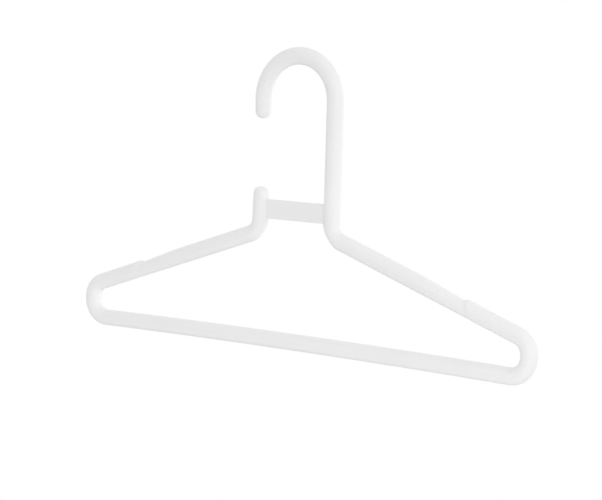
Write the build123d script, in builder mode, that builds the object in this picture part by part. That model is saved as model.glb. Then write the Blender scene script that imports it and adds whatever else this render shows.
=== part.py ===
"""Clothes hanger: one hollow round tube bent into hook, neck, shoulders and bar, with a thin neck web.

The tube runs from the tip of the hook down the stem, round both shoulders and the bottom bar, and ends in a
short post that faces the hook's tip. Each member of the tube is a node of its own, and neighbours meet face
to face where a straight run meets a bend. +X runs along the bar towards the stem, +Z is up, and Y = 0 is the
mid-plane. The origin is the rail seat: the middle of the hook's inner face, which hangs on the rail.
"""
from build123d import *
from math import atan2, cos, pi, radians, sin, tan
import os

# ---- overall sizes, mm ----
overall_width = 410.0
tube_radius = 6.25
wall = 2.2

# ---- heights above the axis of the bottom bar's ends, mm ----
end_corner_height = 26.0  # where a shoulder's axis meets the end's axis
neck_corner_height = 83.6  # where a shoulder's axis meets the neck's axis
post_top_height = 116.6
hook_tip_height = 168.1  # lowest point of the hook's free end
hook_centre_height = 182.9

# ---- bends: radii of the tube's axis, mm ----
hook_radius = 32.5  # also half the distance from stem to post
neck_bend_radius = 13.0
upper_end_bend_radius = 13.0
lower_end_bend_radius = 14.0
bar_rise = 1.9  # how far the bar bows upward at its middle

# ---- hook and post, mm ----
crown_bulge = 0.3  # extra radial half-depth at the top of the hook
crown_sections = 5
tip_root_radius = 6.0  # where the hook's arc ends and its tip begins
tip_radius = 5.6
tip_end_round = 5.2
post_radius = 5.6
post_end_round = 4.4

# ---- neck web, mm ----
web_height = 14.5
web_thickness = 4.5
web_gap = 0.3  # from the top of the neck bends up to the web
web_edge_round = 1.2

# ---- strap notches, mm ----
step_from_end = 55.5  # from the hanger's outer end in to where the step crosses the shoulder's axis, along X
step_lean = radians(20.0)  # from the vertical: the step's foot lies further out than its top
step_root_round = 0.9
notch_length = 37.5  # along the shoulder, from the step's foot in to where the recess begins
notch_depth = 1.9  # at the step's foot, down to the flat
side_relief = 0.75  # at the step's foot, on the front and the back
under_relief = 0.1  # at the step's foot, on the underside
core_ramp = 4.0  # length over which the core widens again past the step

# ---- derived places ----
core_radius = tube_radius - wall
end_x = overall_width / 2 - tube_radius
crown_half_depth = (tube_radius + tip_root_radius) / 2 + crown_bulge
bar_z = crown_half_depth - hook_radius - hook_centre_height
slope = atan2(neck_corner_height - end_corner_height, end_x - hook_radius)
neck_bend_top = neck_corner_height + neck_bend_radius * tan((pi / 2 - slope) / 2)
bar_arc_half = end_x - 2 * lower_end_bend_radius
bar_slope = bar_rise / (end_x - bar_arc_half / 2)


def at(x, height):
    """A point of the route, from its X and its height above the bar's ends."""
    return (x, height + bar_z)


# ---- route of the tube's axis, from the root of the post round the body to the top of the stem ----
with BuildLine(Plane.XZ) as route:
    FilletPolyline(
        at(-hook_radius, post_top_height),
        at(-hook_radius, neck_corner_height),
        at(-end_x, end_corner_height),
        at(-end_x, 0),
        at(0, end_x * tan(bar_slope)),
        at(end_x, 0),
        at(end_x, end_corner_height),
        at(hook_radius, neck_corner_height),
        at(hook_radius, hook_centre_height),
        radius=[
            neck_bend_radius,
            upper_end_bend_radius,
            lower_end_bend_radius,
            bar_arc_half / tan(bar_slope),
            lower_end_bend_radius,
            upper_end_bend_radius,
            neck_bend_radius,
        ],
    )
runs = route.wire().order_edges()

with BuildLine(Plane.XZ) as hook_route:
    CenterArc(at(0, hook_centre_height), hook_radius, 0, 180)
hook_arc = hook_route.edge()


def hollow_run(*path):
    """Adds a hollow round tube along consecutive runs of the route."""
    with BuildSketch(Plane(path[0] @ 0, z_dir=path[0] % 0)) as ring:
        Circle(tube_radius)
        Circle(core_radius, mode=Mode.SUBTRACT)
    sweep(ring.sketch, path=Wire(path))


def finish(piece, label):
    """Names a finished piece and writes it."""
    piece.part.label = label
    export_step(piece.part, f"parts/{label}.step")


os.makedirs("parts", exist_ok=True)

# ---- bottom bar, bowed a little upward ----
with BuildPart() as bottom_bar:
    hollow_run(*runs[6:9])
finish(bottom_bar, "bottom_bar")

# ---- end bends: a tight lower bend, a short upright run and a wider upper bend ----
with BuildPart() as left_end_bend:
    hollow_run(*runs[3:6])
finish(left_end_bend, "left_end_bend")

with BuildPart() as right_end_bend:
    hollow_run(*runs[9:12])
finish(right_end_bend, "right_end_bend")

# ---- neck bends ----
with BuildPart() as left_neck_bend:
    hollow_run(runs[1])
finish(left_neck_bend, "left_neck_bend")

with BuildPart() as right_neck_bend:
    hollow_run(runs[13])
finish(right_neck_bend, "right_neck_bend")

# ---- shoulders, each with a strap notch ----
# A shoulder is described in its own side view: s runs outward along its axis from the neck bend, and u is
# the height above that axis. The notch starts at nothing, deepens outward and ends in a leaning step.
shoulder_length = runs[2].length
step_s = (overall_width / 2 - step_from_end - abs((runs[2] @ 0).X)) / cos(slope)
foot_u = tube_radius - notch_depth
reach = 2 * tube_radius  # of the cutting bodies, on each side of the axis


def side_view(side):
    """The XZ plane with its X along s and its Y along u: side is -1 on the left and 1 on the right."""
    neck_end = runs[2] @ 0 if side < 0 else runs[12] @ 1
    return Plane(neck_end, x_dir=(side * cos(slope), 0, -sin(slope)), z_dir=(0, -side, 0))


def step_at(u):
    """Where the step's plane crosses the height u."""
    return step_s - u * tan(slope + step_lean)


foot_s = step_at(foot_u)
notch_start_s = foot_s - notch_length


def circle_at(side, s, radius, share=0.0):
    """A circle across the shoulder at s, drawn in by a share of the notch's relief."""
    view = side_view(side)
    across = Plane(view.from_local_coords((s, 0, 0)), x_dir=view.y_dir, z_dir=view.x_dir)
    with BuildSketch(across) as section:
        with Locations(((under_relief - side_relief) * share, 0)):
            Circle(radius - side_relief * share)
    return section.sketch


def notch_space(side):
    """All that lies between the notch's start and its step."""
    with BuildPart() as space:
        with BuildSketch(side_view(side)):
            with BuildLine():
                Polyline(
                    (notch_start_s, -reach),
                    (step_at(-reach), -reach),
                    (step_at(reach), reach),
                    (notch_start_s, reach),
                    close=True,
                )
            make_face()
        extrude(amount=reach, both=True)
    return space.part


def strap_seat(side):
    """The drawn-in stretch of tube inside the notch, with the flat on top that the strap lies on."""
    seat_end_s = step_at(-tube_radius)
    share = (seat_end_s - notch_start_s) / notch_length
    with BuildPart() as seat:
        loft([circle_at(side, notch_start_s, tube_radius), circle_at(side, seat_end_s, tube_radius, share)])
        with BuildSketch(side_view(side)):
            with BuildLine():
                FilletPolyline(
                    (notch_start_s, tube_radius),
                    (foot_s, foot_u),
                    (step_at(reach), reach),
                    radius=step_root_round,
                )
                Polyline((step_at(reach), reach), (notch_start_s, reach), (notch_start_s, tube_radius))
            make_face()
        extrude(amount=reach, both=True, mode=Mode.SUBTRACT)
        add(notch_space(side), mode=Mode.INTERSECT)
    return seat.part


def shoulder_core(side):
    """The shoulder's hollow, which dips under the notch so that the wall stays whole."""
    with BuildPart() as core:
        loft(
            [
                circle_at(side, 0, core_radius),
                circle_at(side, notch_start_s, core_radius),
                circle_at(side, foot_s, core_radius, 1.0),
                circle_at(side, foot_s + core_ramp, core_radius),
                circle_at(side, shoulder_length, core_radius),
            ],
            ruled=True,
        )
    return core.part


with BuildPart() as left_shoulder:
    extrude(circle_at(-1, 0, tube_radius), amount=shoulder_length)
    add(notch_space(-1), mode=Mode.SUBTRACT)
    add(strap_seat(-1))
    add(shoulder_core(-1), mode=Mode.SUBTRACT)
finish(left_shoulder, "left_shoulder")

with BuildPart() as right_shoulder:
    extrude(circle_at(1, 0, tube_radius), amount=shoulder_length)
    add(notch_space(1), mode=Mode.SUBTRACT)
    add(strap_seat(1))
    add(shoulder_core(1), mode=Mode.SUBTRACT)
finish(right_shoulder, "right_shoulder")

# ---- hook: a straight stem, a crown that is deeper at its top, and a tapering tip ----
with BuildPart() as hook_stem:
    hollow_run(runs[14])
finish(hook_stem, "hook_stem")


def crown_section(turn, inset):
    """The crown's oval at a share of its half turn, inset from its outer surface."""
    radius = tube_radius + (tip_root_radius - tube_radius) * turn - inset
    outward = (cos(pi * turn), 0, sin(pi * turn))
    with BuildSketch(Plane(hook_arc @ turn, x_dir=outward, z_dir=hook_arc % turn)) as section:
        Ellipse(radius + crown_bulge * sin(pi * turn) ** 2, radius)
    return section.sketch


crown_turns = [number / (crown_sections - 1) for number in range(crown_sections)]
with BuildPart() as hook_crown:
    sweep([crown_section(turn, 0) for turn in crown_turns], path=hook_arc, multisection=True)
    sweep(
        [crown_section(turn, wall) for turn in crown_turns],
        path=hook_arc,
        multisection=True,
        mode=Mode.SUBTRACT,
    )
finish(hook_crown, "hook_crown")


def free_end(plane, root_radius, end_radius, length, end_round):
    """Half the section of a closed, tapering end: X is the radius, and Y runs to the free end."""
    with BuildSketch(plane) as half:
        with BuildLine():
            FilletPolyline((root_radius, 0), (end_radius, length), (0, length), radius=end_round)
            Line((0, length), (0, length - wall))
            FilletPolyline(
                (0, length - wall),
                (end_radius - wall, length - wall),
                (root_radius - wall, 0),
                radius=end_round - wall,
            )
            Line((root_radius - wall, 0), (root_radius, 0))
        make_face()
    return half.sketch


tip_plane = Plane(hook_arc @ 1, x_dir=(1, 0, 0), z_dir=(0, 1, 0))
tip_length = hook_centre_height - hook_tip_height
with BuildPart() as hook_tip:
    tip_half = free_end(tip_plane, tip_root_radius, tip_radius, tip_length, tip_end_round)
    revolve(tip_half, Axis(tip_plane.origin, (0, 0, 1)))
finish(hook_tip, "hook_tip")

# ---- post that faces the tip ----
post_plane = Plane((-hook_radius, 0, neck_bend_top + bar_z), x_dir=(1, 0, 0), z_dir=(0, -1, 0))
post_length = post_top_height - neck_bend_top
with BuildPart() as neck_post:
    post_half = free_end(post_plane, tube_radius, post_radius, post_length, post_end_round)
    revolve(post_half, Axis(post_plane.origin, (0, 0, 1)))
finish(neck_post, "neck_post")

# ---- web that ties the post to the stem ----
web_bottom = neck_bend_top + web_gap + bar_z
upright = (Align.CENTER, Align.CENTER, Align.MIN)
with BuildPart() as neck_web:
    with Locations((0, 0, web_bottom)):
        Box(2 * hook_radius, web_thickness, web_height, align=upright)
    fillet(neck_web.edges().filter_by(Axis.X), web_edge_round)
    with Locations((hook_radius, 0, web_bottom - web_gap)):
        Cylinder(tube_radius, web_height + 2 * web_gap, align=upright, mode=Mode.SUBTRACT)
    with Locations(post_plane.origin):
        Cone(tube_radius, post_radius, post_length, align=upright, mode=Mode.SUBTRACT)
finish(neck_web, "neck_web")
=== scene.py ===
from math import atan2, cos, pi, radians, sin, tan

import bpy
import numpy as np
from mathutils import Matrix, Vector


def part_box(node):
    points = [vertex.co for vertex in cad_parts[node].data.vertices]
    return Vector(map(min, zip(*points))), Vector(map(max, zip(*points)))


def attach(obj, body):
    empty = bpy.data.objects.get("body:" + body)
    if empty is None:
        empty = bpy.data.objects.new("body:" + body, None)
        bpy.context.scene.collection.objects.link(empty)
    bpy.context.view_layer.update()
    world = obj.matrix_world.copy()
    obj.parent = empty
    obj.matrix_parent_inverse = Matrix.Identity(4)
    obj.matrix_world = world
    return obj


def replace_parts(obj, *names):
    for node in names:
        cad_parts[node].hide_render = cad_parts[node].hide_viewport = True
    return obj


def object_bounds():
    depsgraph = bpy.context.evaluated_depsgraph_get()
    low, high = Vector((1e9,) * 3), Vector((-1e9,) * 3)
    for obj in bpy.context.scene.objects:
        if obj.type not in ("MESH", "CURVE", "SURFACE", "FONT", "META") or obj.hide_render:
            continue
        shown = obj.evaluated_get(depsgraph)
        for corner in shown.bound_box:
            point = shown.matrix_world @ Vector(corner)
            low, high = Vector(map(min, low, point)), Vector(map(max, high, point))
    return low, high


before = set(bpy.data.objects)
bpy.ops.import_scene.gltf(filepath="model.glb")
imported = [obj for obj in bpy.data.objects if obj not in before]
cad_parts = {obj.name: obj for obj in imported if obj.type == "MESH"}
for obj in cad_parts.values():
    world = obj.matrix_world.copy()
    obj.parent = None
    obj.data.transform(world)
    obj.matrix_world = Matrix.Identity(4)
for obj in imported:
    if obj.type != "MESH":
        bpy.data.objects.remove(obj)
cad_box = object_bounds()

# Lengths are in metres and angles in radians. X runs along the bottom bar to the stem's side, and Z is up.
MM = 0.001

# ---- tube ----
WALL = 2.2 * MM
NECK_DRAW = 1.1 * MM  # how much a neck bend thins on the outer side of its turn
TIP_TAPER = 0.4 * MM
TIP_ROUND = 5.2 * MM
POST_TAPER = 0.65 * MM
POST_ROUND = 4.4 * MM

# ---- mould seam, a fine ridge along the tube's outer and inner side, where the mould's halves met ----
SEAM_HEIGHT = 0.05 * MM
SEAM_HALF_WIDTH = 0.14 * MM
SEAM_OFFSETS = np.array([0.05, 0.11, 0.18, 0.27]) * MM  # from the ridge's middle, where it needs points
SEAM_CLEARANCE = 1.25  # the evenly spaced points stay out of this many times the last offset
SEAM_FADE = 1.5  # on a free end the ridge fades once the radius is under the tube's divided by this

# ---- strap notches ----
STEP_FROM_END = 55.5 * MM  # from the hanger's outer end in to where the step crosses the shoulder's axis
STEP_LEAN = radians(20.0)
NOTCH_LENGTH = 37.5 * MM
NOTCH_DEPTH = 1.9 * MM
SIDE_RELIEF = 0.75 * MM
UNDER_RELIEF = 0.1 * MM
STEP_RAMP = 6.0 * MM  # over which the step rises and the relieved sides swell out again
STEP_CURVE = 1.6  # over 1, the ramp starts softly and ends in a crease
RIM_CREST = 0.3 * MM  # how far the rim stands proud, outboard of the step
CREST_LENGTH = 9.0 * MM
FLAT_EDGE = 0.5 * MM  # rounding where the flat meets the tube's side
CORE_RAMP = 4.0 * MM  # over which the hollow widens again under the step
LEAN_IN = 0.5  # share of the run before the notch over which the rings take up the step's lean
LEAN_OUT = 0.6  # share of the run past the step over which they stand up again

# ---- neck web ----
WEB_FILLET = 2.2 * MM
WEB_EDGE = 1.2 * MM
WEB_SINK = 0.02 * MM  # how deep the fillet's last ring lies in the tube

# ---- camera and studio ----
CAMERA_AZIMUTH = radians(35.04)  # from the hanger's front round towards the stem's side
CAMERA_ELEVATION = radians(6.66)
CAMERA_ROLL = radians(1.56)
CAMERA_DISTANCE = 1.3165
CAMERA_AIM = Vector((5.44, 0, -35.95)) * MM  # from the middle of the hanger's box
SENSOR_WIDTH_MM = 36.0
LENS_MM = 105.9
SURROUND_LIGHT = 0.87
FLOOR_LIGHT = 0.44
FLOOR_SIZE = 200
FLOOR_HEIGHT = -1.5
SOFTBOX_SIZE = 0.9
SOFTBOX_AIM = Vector((0, 0, -0.1))
SOFTBOXES = {  # where each one stands, and its power in watts
    "right": ((1.5, -0.1, -0.05), 1.7),
    "right_front": ((1.2, -0.9, -0.05), 1.9),
    "right_back": ((1.1, 1.0, 0.1), 1.8),
    "back": ((0.1, 1.4, 0), 2.0),
    "low_back": ((0.3, 0.9, -0.7), 2.4),
    "low_front": ((0.5, -0.8, -0.8), 2.8),
    "low_left": ((-0.9, -0.4, -0.8), 1.2),
    "below": ((0, -0.1, -1.1), 1.5),
}

# ---- mesh density ----
AROUND = 96  # points round a section, besides those at the seam
BEND_STEP = radians(3.0)  # from ring to ring round a bend
STEM_STRETCHES = 16
END_STRETCHES = 3
BAR_RINGS = 49
SHOULDER_STRETCHES = (13, 21, 18, 13, 7)  # to the notch, the step, the rim, the crest's end and the bend
SIDE_RINGS = 7
DOME_RINGS = 16
LID_RINGS = (0.66, 0.33, 0.05)  # radii on a free end's flat, as shares of the flat's own
WEB_EDGE_POINTS = 9
WEB_SIDE_POINTS = 11
WEB_FILLET_RINGS = 10
WEB_MIDDLE_RINGS = 23

# ---- solving ----
FIRST_SLOPE = 0.3  # a first guess at the shoulder's
SLOPE_ROUNDS = 60  # far more than it takes to settle
TINY = 1e-12  # keeps a normal of no length from being divided by nothing


# ---- the tube's route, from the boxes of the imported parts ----
stem_low, stem_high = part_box("hook_stem")
tip_low, tip_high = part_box("hook_tip")
tip_radius = (tip_high.x - tip_low.x) / 2
tube_radius = (stem_high.x - stem_low.x) / 2
hook_radius = (stem_high.x + stem_low.x) / 2
hook_z = stem_high.z
end_x = cad_box[1].x - tube_radius
core_radius = tube_radius - WALL


def shoulder_line():
    """Both ends of the right shoulder's axis, and its slope, from the box round the straight run."""
    low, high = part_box("right_shoulder")
    slope = FIRST_SLOPE
    for _ in range(SLOPE_ROUNDS):
        run = high.x - low.x - 2 * tube_radius * sin(slope)
        fall = high.z - low.z - 2 * tube_radius * cos(slope)
        slope = atan2(fall, run)
    inner = Vector((low.x + tube_radius * sin(slope), high.z - tube_radius * cos(slope)))
    outer = Vector((high.x - tube_radius * sin(slope), low.z + tube_radius * cos(slope)))
    return inner, outer, slope


shoulder_in, shoulder_out, slope = shoulder_line()
shoulder_length = (shoulder_out - shoulder_in).length
neck_radius = (shoulder_in.x - hook_radius) / (1 - sin(slope))
neck_top = shoulder_in.y + neck_radius * cos(slope)
upper_radius = (end_x - shoulder_out.x) / (1 - sin(slope))
upper_centre = Vector((end_x - upper_radius, shoulder_out.y - upper_radius * cos(slope)))


def lower_bend():
    """The lower end bend's radius and centre, and the slope at which the bowed bar meets it."""
    low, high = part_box("bottom_bar")
    end_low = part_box("right_end_bend")[0]
    rise = high.z - low.z - 2 * tube_radius
    end_slope = 2 * rise / high.x
    radius = (end_x - high.x + tube_radius * end_slope) / (1 + end_slope)
    centre = Vector((end_x - radius, end_low.z + radius + tube_radius))
    return radius, centre, end_slope


lower_radius, lower_centre, bar_slope = lower_bend()


def across(heading):
    """The in-plane direction that looks out of the loop, for a heading in the XZ plane."""
    return Vector((-sin(heading), cos(heading)))


def straight(start, end, heading, count):
    """Stations, each a point with a heading, along a straight run."""
    return [(start.lerp(end, i / count), heading) for i in range(count + 1)]


def bend(centre, radius, start, end):
    """Stations along a bend: a negative radius bends towards the outside of the loop."""
    count = max(2, round(abs(end - start) / BEND_STEP))
    headings = [start + (end - start) * i / count for i in range(count + 1)]
    return [(centre + radius * across(h), h) for h in headings]


# ---- sections ----
def around_angles():
    """Angles round a section, from the outer seam, with extra points at both seams."""
    near = SEAM_OFFSETS / tube_radius
    even = np.linspace(0, 2 * pi, AROUND, endpoint=False)
    from_seam = np.abs((even + pi / 2) % pi - pi / 2)
    even = even[from_seam > near[-1] * SEAM_CLEARANCE]
    seams = [seam + offset for seam in (0, pi) for offset in (*-near, 0, *near)]
    return np.sort(np.concatenate([even, np.array(seams) % (2 * pi)]))


ANGLES = around_angles()
COUNT = len(ANGLES)


def oval(in_plane, depth):
    """A plain section as (along, outward, y) rows."""
    return np.column_stack([np.zeros(COUNT), in_plane * np.cos(ANGLES), depth * np.sin(ANGLES)])


def seamed(section, share=1.0):
    """The section with a share of the mould seam's ridge on its outer and inner side."""
    ridge = SEAM_HEIGHT * share * np.exp(-((section[:, 2] / SEAM_HALF_WIDTH) ** 2))
    raised = section.copy()
    raised[:, 1] += np.where(np.cos(ANGLES) > 0, ridge, -ridge)
    return raised


def place(station, section):
    """A section's points in the row frame."""
    (x, z), heading = station
    ahead = np.array([cos(heading), 0, sin(heading)])
    outward = np.array([-sin(heading), 0, cos(heading)])
    along = np.outer(section[:, 0], ahead) + np.outer(section[:, 1], outward)
    return np.array([x, 0, z]) + along + np.outer(section[:, 2], [0, 1, 0])


def plain_tube(stations):
    """Outer and inner rings of a round run."""
    outer = np.array([place(s, seamed(oval(tube_radius, tube_radius))) for s in stations])
    inner = np.array([place(s, oval(core_radius, core_radius)) for s in stations])
    return outer, inner


def mirrored(rings):
    """The same run on the other side, in the route's own order."""
    return tuple(r[::-1] * np.array([-1, 1, 1]) for r in rings)


def smooth(t):
    """A soft rise from 0 to 1."""
    t = min(1.0, max(0.0, t))
    return t * t * (3 - 2 * t)


# ---- hook ----
def hook_crown():
    """The crown, deeper at its top and drawn in towards the tip."""
    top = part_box("hook_crown")[1].z
    bulge = top - hook_z - hook_radius - (tube_radius + tip_radius) / 2
    outer, inner = [], []
    for station in bend(Vector((0, hook_z)), hook_radius, pi / 2, -pi / 2):
        turn = 0.5 + station[1] / pi
        radius = tube_radius + (tip_radius - tube_radius) * turn
        extra = bulge * sin(pi * turn) ** 2
        outer.append(place(station, seamed(oval(radius + extra, radius))))
        inner.append(place(station, oval(radius - WALL + extra, radius - WALL)))
    return np.array(outer), np.array(inner)


def hook_stem():
    """The straight stem, from the crown down to the right neck bend."""
    top, foot = Vector((hook_radius, hook_z)), Vector((hook_radius, neck_top))
    return plain_tube(straight(top, foot, -pi / 2, STEM_STRETCHES))


def free_end(node, root_radius, taper, end_round, up):
    """Rings of a tapering closed end, in the route's order: up says which way its tip looks."""
    low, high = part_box(node)
    x = (low.x + high.x) / 2
    root, tip = (low.z, high.z) if up else (high.z, low.z)
    length = abs(tip - root)

    def rings(inset, seam):
        """Rings from the root to the tip, all of them inset from the outside."""
        reach, edge = length - inset, end_round - inset
        wide, narrow = root_radius - inset, root_radius - taper - inset
        lean = atan2(wide - narrow, reach)
        flat = narrow - edge * tan((pi / 2 - lean) / 2)
        turns = np.linspace(lean, pi / 2, DOME_RINGS)
        dome = [(flat + edge * cos(a), reach - edge + edge * sin(a)) for a in turns]
        shares = np.linspace(0, 1, SIDE_RINGS, endpoint=False)
        side = [(wide + (dome[0][0] - wide) * t, dome[0][1] * t) for t in shares]
        lid = [(flat * t, reach) for t in LID_RINGS]
        found = []
        for radius, height in side + dome + lid:
            section = seamed(oval(radius, radius), seam * min(1.0, radius / tube_radius * SEAM_FADE))
            z = root + height if up else root - height
            found.append(place((Vector((x, z)), pi / 2), section))
        return np.array(found)

    outer, inner = rings(0.0, 1.0), rings(WALL, 0.0)
    return (outer, inner) if up else (outer[::-1], inner[::-1])


# ---- neck bends ----
def neck_bend():
    """Right neck bend from the stem outward, thinner on the outer side of its turn."""
    stations = bend(Vector((hook_radius + neck_radius, neck_top)), -neck_radius, -pi / 2, -slope)
    outer, inner = [], []
    for number, station in enumerate(stations):
        drawn = 1 - NECK_DRAW / tube_radius * sin(pi * number / (len(stations) - 1)) ** 2
        for rings, radius, seam in ((outer, tube_radius, 1.0), (inner, core_radius, 0.0)):
            section = oval(radius, radius)
            section[:, 1] *= np.where(section[:, 1] < 0, drawn, 1)
            rings.append(place(station, seamed(section, seam)))
    return np.array(outer), np.array(inner)


# ---- shoulders: places along one are measured from the neck bend, at its axis ----
lean_rate = tan(slope + STEP_LEAN)
step_at = (cad_box[1].x - STEP_FROM_END - shoulder_in.x) / cos(slope)
notch_floor = tube_radius - NOTCH_DEPTH  # above the axis
notch_start = step_at - notch_floor * lean_rate - NOTCH_LENGTH


def step_rise(at):
    """How far the step has risen there, from 0 to 1."""
    return min(1.0, max(0.0, (at - step_at) / STEP_RAMP + 0.5)) ** STEP_CURVE


def trimmed(heights, ceiling):
    """Heights cut off flat at a ceiling, with a rounded edge."""
    excess = heights - ceiling
    rounding = -((FLAT_EDGE - excess) ** 2) / (4 * FLAT_EDGE)
    below = np.where(excess < -FLAT_EDGE, excess, rounding)
    return ceiling + np.where(excess > FLAT_EDGE, 0, below)


def notch_share(at):
    """How far the notch has deepened there: 0 where it starts, 1 at the step and more past it."""
    return max(0.0, (at - notch_start - notch_floor * lean_rate) / NOTCH_LENGTH)


def shoulder_outside(at):
    """The outer section on a plane that leans like the step."""
    share, rise = notch_share(at), step_rise(at)
    relief = share * (1 - rise)
    crest = RIM_CREST * rise * (1 - smooth((at - step_at - STEP_RAMP / 2) / CREST_LENGTH))
    radius = tube_radius - SIDE_RELIEF * relief + crest * np.clip(np.cos(ANGLES), 0, 1) ** 2
    section = seamed(oval(radius, radius))
    section[:, 1] -= (SIDE_RELIEF - UNDER_RELIEF) * relief
    if share > 0:
        ceiling = tube_radius + FLAT_EDGE * (1 + rise) - (NOTCH_DEPTH + FLAT_EDGE) * relief + crest
        section[:, 1] = trimmed(section[:, 1], ceiling)
    return section


def shoulder_inside(at):
    """The hollow's section, drawn in under the notch."""
    share = min(notch_share(at), 1.0) * (1 - smooth((at - step_at) / CORE_RAMP))
    radius = tube_radius - WALL - SIDE_RELIEF * share
    section = oval(radius, radius)
    section[:, 1] -= (SIDE_RELIEF - UNDER_RELIEF) * share
    return section


def shoulder():
    """Right shoulder from the neck outward."""
    notch_from = notch_start + notch_floor * lean_rate
    ramp_from, ramp_to = step_at - STEP_RAMP / 2, step_at + STEP_RAMP / 2
    marks = (0, notch_from, ramp_from, ramp_to, ramp_to + CREST_LENGTH, shoulder_length)
    places = [0.0]
    for start, end, count in zip(marks, marks[1:], SHOULDER_STRETCHES):
        places.extend(np.linspace(start, end, count + 1)[1:])
    run = (shoulder_out - shoulder_in).normalized()
    outer, inner = [], []
    for at in places:
        lean = lean_rate * smooth(at / (LEAN_IN * notch_start))
        lean *= smooth((shoulder_length - at) / (LEAN_OUT * (shoulder_length - step_at)))
        station = (shoulder_in + run * at, -slope)
        for rings, section in ((outer, shoulder_outside(at)), (inner, shoulder_inside(at))):
            section[:, 0] = -section[:, 1] * lean
            rings.append(place(station, section))
    return np.array(outer), np.array(inner)


# ---- ends and bar ----
def end_bend():
    """Right end, round from the shoulder to the bar."""
    upper = bend(upper_centre, upper_radius, -slope, -pi / 2)
    top, foot = Vector((end_x, upper_centre.y)), Vector((end_x, lower_centre.y))
    side = straight(top, foot, -pi / 2, END_STRETCHES)
    lower = bend(lower_centre, lower_radius, -pi / 2, -pi - bar_slope)
    return plain_tube(upper + side[1:] + lower[1:])


def bottom_bar():
    """The bar, bowed up by a very long radius."""
    end = lower_centre + lower_radius * across(-pi - bar_slope)
    radius = end.x / sin(bar_slope)
    centre = Vector((0, end.y - radius * cos(bar_slope)))
    headings = np.linspace(-pi - bar_slope, -pi + bar_slope, BAR_RINGS)
    return plain_tube([(centre - radius * across(h), h) for h in headings])


# ---- meshes ----
def add_object(name, mesh):
    """An object for the mesh, linked into the scene."""
    added = bpy.data.objects.new(name, mesh)
    bpy.context.scene.collection.objects.link(added)
    return added


def grid_normals(grid):
    """Smooth normals of a grid of rings that closes round each ring."""
    lengthwise = np.gradient(grid, axis=0)
    around = np.roll(grid, -1, axis=1) - np.roll(grid, 1, axis=1)
    normals = np.cross(lengthwise, around)
    return normals / np.maximum(np.linalg.norm(normals, axis=2, keepdims=True), TINY)


def quads(first, rows, around, flip=False):
    """Faces of a grid of closed rings, with that many points around, that starts at point first."""
    found = []
    for i in range(rows - 1):
        for j in range(around):
            a, b = first + i * around + j, first + i * around + (j + 1) % around
            face = (a, a + around, b + around, b)
            found.append(face[::-1] if flip else face)
    return found


def end_faces(outside, inside, closed, flip):
    """Faces at the rings that start there: a closed end's two lids, or the edge of the wall."""
    if closed:
        found = [[outside + j for j in range(COUNT)], [inside + j for j in range(COUNT)][::-1]]
    else:
        pairs = [(j, (j + 1) % COUNT) for j in range(COUNT)]
        found = [(outside + j, outside + k, inside + k, inside + j) for j, k in pairs]
    return [face[::-1] for face in found] if flip else found


def skin(name, outer, normals, inner, closed_first, closed_last):
    """A member's closed mesh: outside, inside, and either a wall's edge or a closed end at each end."""
    points = np.concatenate([outer.reshape(-1, 3), inner.reshape(-1, 3)])
    inside = len(outer) * COUNT
    faces = quads(0, len(outer), COUNT) + quads(inside, len(inner), COUNT, flip=True)
    smooth_count = len(faces)
    faces += end_faces(0, inside, closed_first, flip=False)
    faces += end_faces(inside - COUNT, len(points) - COUNT, closed_last, flip=True)
    mesh = bpy.data.meshes.new(name)
    mesh.from_pydata(points.tolist(), [], faces)
    mesh.polygons.foreach_set("use_smooth", [i < smooth_count for i in range(len(faces))])
    vertex_normals = np.concatenate([normals.reshape(-1, 3), -grid_normals(inner).reshape(-1, 3)])
    loop_vertex = np.zeros(len(mesh.loops), int)
    mesh.loops.foreach_get("vertex_index", loop_vertex)
    loop_normals = vertex_normals[loop_vertex]
    loop_normals[4 * smooth_count :] = 0  # the end faces stay flat
    mesh.normals_split_custom_set(loop_normals.tolist())
    return add_object(name, mesh)


def tube_members():
    """One piece for each member, all cut from one continuous surface, so that no joint shows."""
    neck, right_side, right_end = neck_bend(), shoulder(), end_bend()
    members = {
        "hook_tip": free_end("hook_tip", tip_radius, TIP_TAPER, TIP_ROUND, up=False),
        "hook_crown": hook_crown(),
        "hook_stem": hook_stem(),
        "right_neck_bend": neck,
        "right_shoulder": right_side,
        "right_end_bend": right_end,
        "bottom_bar": bottom_bar(),
        "left_end_bend": mirrored(right_end),
        "left_shoulder": mirrored(right_side),
        "left_neck_bend": mirrored(neck),
        "neck_post": free_end("neck_post", tube_radius, POST_TAPER, POST_ROUND, up=True),
    }
    whole = [members["hook_tip"][0]] + [outer[1:] for outer, inner in list(members.values())[1:]]
    normals = grid_normals(np.concatenate(whole))
    row, made = 0, []
    for node, (outer, inner) in members.items():
        rows = normals[row : row + len(outer)]
        made.append(skin(node + "_surface", outer, rows, inner, node == "hook_tip", node == "neck_post"))
        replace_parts(made[-1], node)
        row += len(outer) - 1
    return made


# ---- neck web ----
def web_outline(half_thick, low, high):
    """The web's outline across its length as (y, z, normal y, normal z) rows."""
    y, bottom, top = half_thick - WEB_EDGE, low + WEB_EDGE, high - WEB_EDGE
    corners = [
        (-y, bottom, -pi / 2, -pi),
        (-y, top, pi, pi / 2),
        (y, top, pi / 2, 0),
        (y, bottom, 0, -pi / 2),
    ]
    side_heights = np.linspace(bottom, top, WEB_SIDE_POINTS + 2)[1:-1]
    sides = {0: side_heights, 2: side_heights[::-1]}  # up the one flat face and down the other
    rows = []
    for number, (corner_y, corner_z, start, end) in enumerate(corners):
        for a in np.linspace(start, end, WEB_EDGE_POINTS):
            rows.append((corner_y + WEB_EDGE * cos(a), corner_z + WEB_EDGE * sin(a), cos(a), sin(a)))
        face_y, _, facing, _ = rows[-1]
        rows.extend((face_y, z, facing, 0.0) for z in sides.get(number, ()))
    return np.array(rows)


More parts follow.
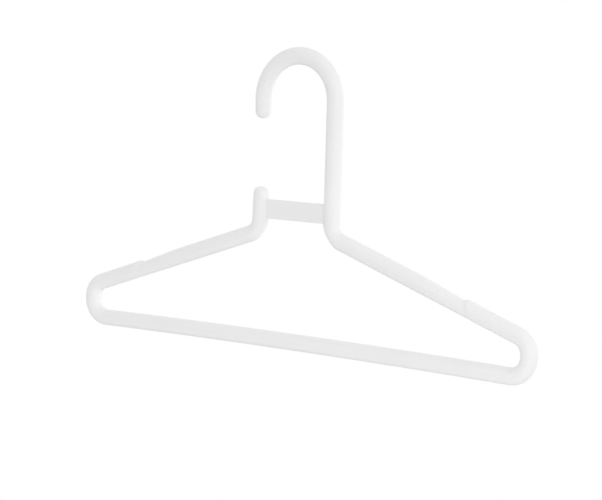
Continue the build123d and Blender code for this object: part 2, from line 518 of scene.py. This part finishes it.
def web_fillet(outline, side):
    """Rings from the web's face out onto the post, where side is -1, or the stem, where it is 1."""
    y, z, normal_y, normal_z = outline.T
    fillet_y, fillet_z = y + normal_y * WEB_FILLET, z + normal_z * WEB_FILLET
    radius = np.full(len(y), tube_radius)
    if side < 0:
        post_low, post_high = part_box("neck_post")
        radius -= POST_TAPER * np.clip((fillet_z - post_low.z) / (post_high.z - post_low.z), 0, 1)
    # Each point turns round a centre of its own, from the web's face to just inside the tube.
    reach = radius - WEB_SINK + WEB_FILLET
    centre = np.column_stack([np.sqrt(reach**2 - fillet_y**2), fillet_y, fillet_z])
    on_web = np.column_stack([np.zeros(len(y)), -normal_y, -normal_z])
    on_tube = np.column_stack([-centre[:, 0], -centre[:, 1], np.zeros(len(y))]) / reach[:, None]
    angle = np.arccos(np.clip((on_web * on_tube).sum(1), -1, 1))[:, None]
    bend_reach = neck_radius + tube_radius
    rings = []
    for t in np.linspace(0, 1, WEB_FILLET_RINGS):
        towards = (on_web * np.sin((1 - t) * angle) + on_tube * np.sin(t * angle)) / np.sin(angle)
        ring = centre + towards * WEB_FILLET
        below = np.clip(neck_top - ring[:, 2], 0, None)  # down there, the neck bend leads the tube away
        ring[:, 0] -= t * (bend_reach - np.sqrt(bend_reach**2 - below**2))
        ring[:, 0] = side * (hook_radius - ring[:, 0])
        rings.append(ring)
    return rings


def neck_web():
    """The flat web, with soft fillets onto the post and the stem."""
    low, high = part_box("neck_web")
    outline = web_outline((high.y - low.y) / 2, low.z, high.z)
    left, right = web_fillet(outline, -1)[::-1], web_fillet(outline, 1)
    shares = np.linspace(0, 1, WEB_MIDDLE_RINGS + 2)[1:-1]
    middle = [left[-1] + (right[0] - left[-1]) * t for t in shares]
    points = np.array(left + middle + right)
    rows, around = points.shape[:2]
    faces = quads(0, rows, around, flip=True)
    faces.append(list(range(around)))
    faces.append([(rows - 1) * around + j for j in range(around)][::-1])
    mesh = bpy.data.meshes.new("neck_web_surface")
    mesh.from_pydata(points.reshape(-1, 3).tolist(), [], faces)
    mesh.polygons.foreach_set("use_smooth", [len(face) == 4 for face in faces])
    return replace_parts(add_object("neck_web_surface", mesh), "neck_web")


# ---- material ----
def white_plastic():
    """Satin white polypropylene: faint flow marks in its tone, a fine moulded grain and soft gloss."""
    material = bpy.data.materials.new("satin_white_plastic")
    material.use_nodes = True
    nodes, links = material.node_tree.nodes, material.node_tree.links
    shader = nodes["Principled BSDF"]
    coordinates = nodes.new("ShaderNodeTexCoord").outputs["Object"]

    def noise(scale, detail):
        texture = nodes.new("ShaderNodeTexNoise")
        texture.inputs["Scale"].default_value = scale
        texture.inputs["Detail"].default_value = detail
        links.new(coordinates, texture.inputs["Vector"])
        return texture.outputs["Fac"]

    def between(low, high, value):
        rescale = nodes.new("ShaderNodeMapRange")
        rescale.inputs["To Min"].default_value = low
        rescale.inputs["To Max"].default_value = high
        links.new(value, rescale.inputs["Value"])
        return rescale.outputs["Result"]

    tone = nodes.new("ShaderNodeMix")
    tone.data_type = "RGBA"
    tone.inputs["A"].default_value = (0.90, 0.90, 0.90, 1)
    tone.inputs["B"].default_value = (0.94, 0.94, 0.94, 1)
    links.new(noise(scale=28, detail=3), tone.inputs["Factor"])
    links.new(tone.outputs["Result"], shader.inputs["Base Color"])
    gloss = between(low=0.34, high=0.5, value=noise(scale=160, detail=4))
    links.new(gloss, shader.inputs["Roughness"])
    shader.inputs["IOR"].default_value = 1.49
    grain = nodes.new("ShaderNodeBump")
    grain.inputs["Strength"].default_value = 0.25
    grain.inputs["Distance"].default_value = 0.03 * MM
    links.new(noise(scale=700, detail=2), grain.inputs["Height"])
    links.new(grain.outputs["Normal"], shader.inputs["Normal"])
    return material


pieces = tube_members() + [neck_web()]
plastic = white_plastic()
for piece in pieces:
    piece.data.materials.append(plastic)
    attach(piece, "root")


# ---- camera ----
def camera():
    """A long lens a little above the bar, round towards the stem's side."""
    aim = (cad_box[0] + cad_box[1]) / 2 + CAMERA_AIM
    level = cos(CAMERA_ELEVATION)
    back = Vector((sin(CAMERA_AZIMUTH) * level, -cos(CAMERA_AZIMUTH) * level, sin(CAMERA_ELEVATION)))
    data = bpy.data.cameras.new("camera")
    data.sensor_width = SENSOR_WIDTH_MM
    data.lens = LENS_MM
    eye = add_object("camera", data)
    eye.matrix_world = (
        Matrix.Translation(aim + back * CAMERA_DISTANCE)
        @ (-back).to_track_quat("-Z", "Y").to_matrix().to_4x4()
        @ Matrix.Rotation(CAMERA_ROLL, 4, "Z")
    )
    bpy.context.scene.camera = eye


# ---- studio ----
def white_to_camera(tree, shader_type, output, strength):
    """Plain white where the camera looks at it, while it lights the object with a strength of its own."""
    nodes, links = tree.nodes, tree.links
    path = nodes.new("ShaderNodeLightPath")
    pick = nodes.new("ShaderNodeMapRange")
    pick.inputs["To Min"].default_value = strength
    pick.inputs["To Max"].default_value = 1.0
    links.new(path.outputs["Is Camera Ray"], pick.inputs["Value"])
    shader = nodes.new(shader_type)
    shader.inputs["Color"].default_value = (1, 1, 1, 1)
    links.new(pick.outputs["Result"], shader.inputs["Strength"])
    links.new(shader.outputs[0], nodes[output].inputs["Surface"])


def surround():
    """A white world."""
    world = bpy.data.worlds.new("studio")
    world.use_nodes = True
    white_to_camera(world.node_tree, "ShaderNodeBackground", "World Output", SURROUND_LIGHT)
    bpy.context.scene.world = world


def pale_floor():
    """A wide pale floor, well below the hanger."""
    bpy.ops.mesh.primitive_plane_add(size=FLOOR_SIZE, location=(0, 0, FLOOR_HEIGHT))
    floor = bpy.context.object
    floor.name = "floor"
    pale = bpy.data.materials.new("pale_floor")
    pale.use_nodes = True
    white_to_camera(pale.node_tree, "ShaderNodeEmission", "Material Output", FLOOR_LIGHT)
    floor.data.materials.append(pale)


def softboxes():
    """Soft square lights on the stem's side, low down and behind, that stay out of the picture."""
    for name, (spot, power) in SOFTBOXES.items():
        data = bpy.data.lights.new(name, "AREA")
        data.size = SOFTBOX_SIZE
        data.energy = power
        lamp = add_object(name, data)
        lamp.location = spot
        lamp.rotation_mode = "QUATERNION"
        lamp.rotation_quaternion = (SOFTBOX_AIM - Vector(spot)).to_track_quat("-Z", "Y")
        lamp.visible_camera = False


camera()
surround()
pale_floor()
softboxes()
bpy.context.scene.view_settings.view_transform = "Standard"
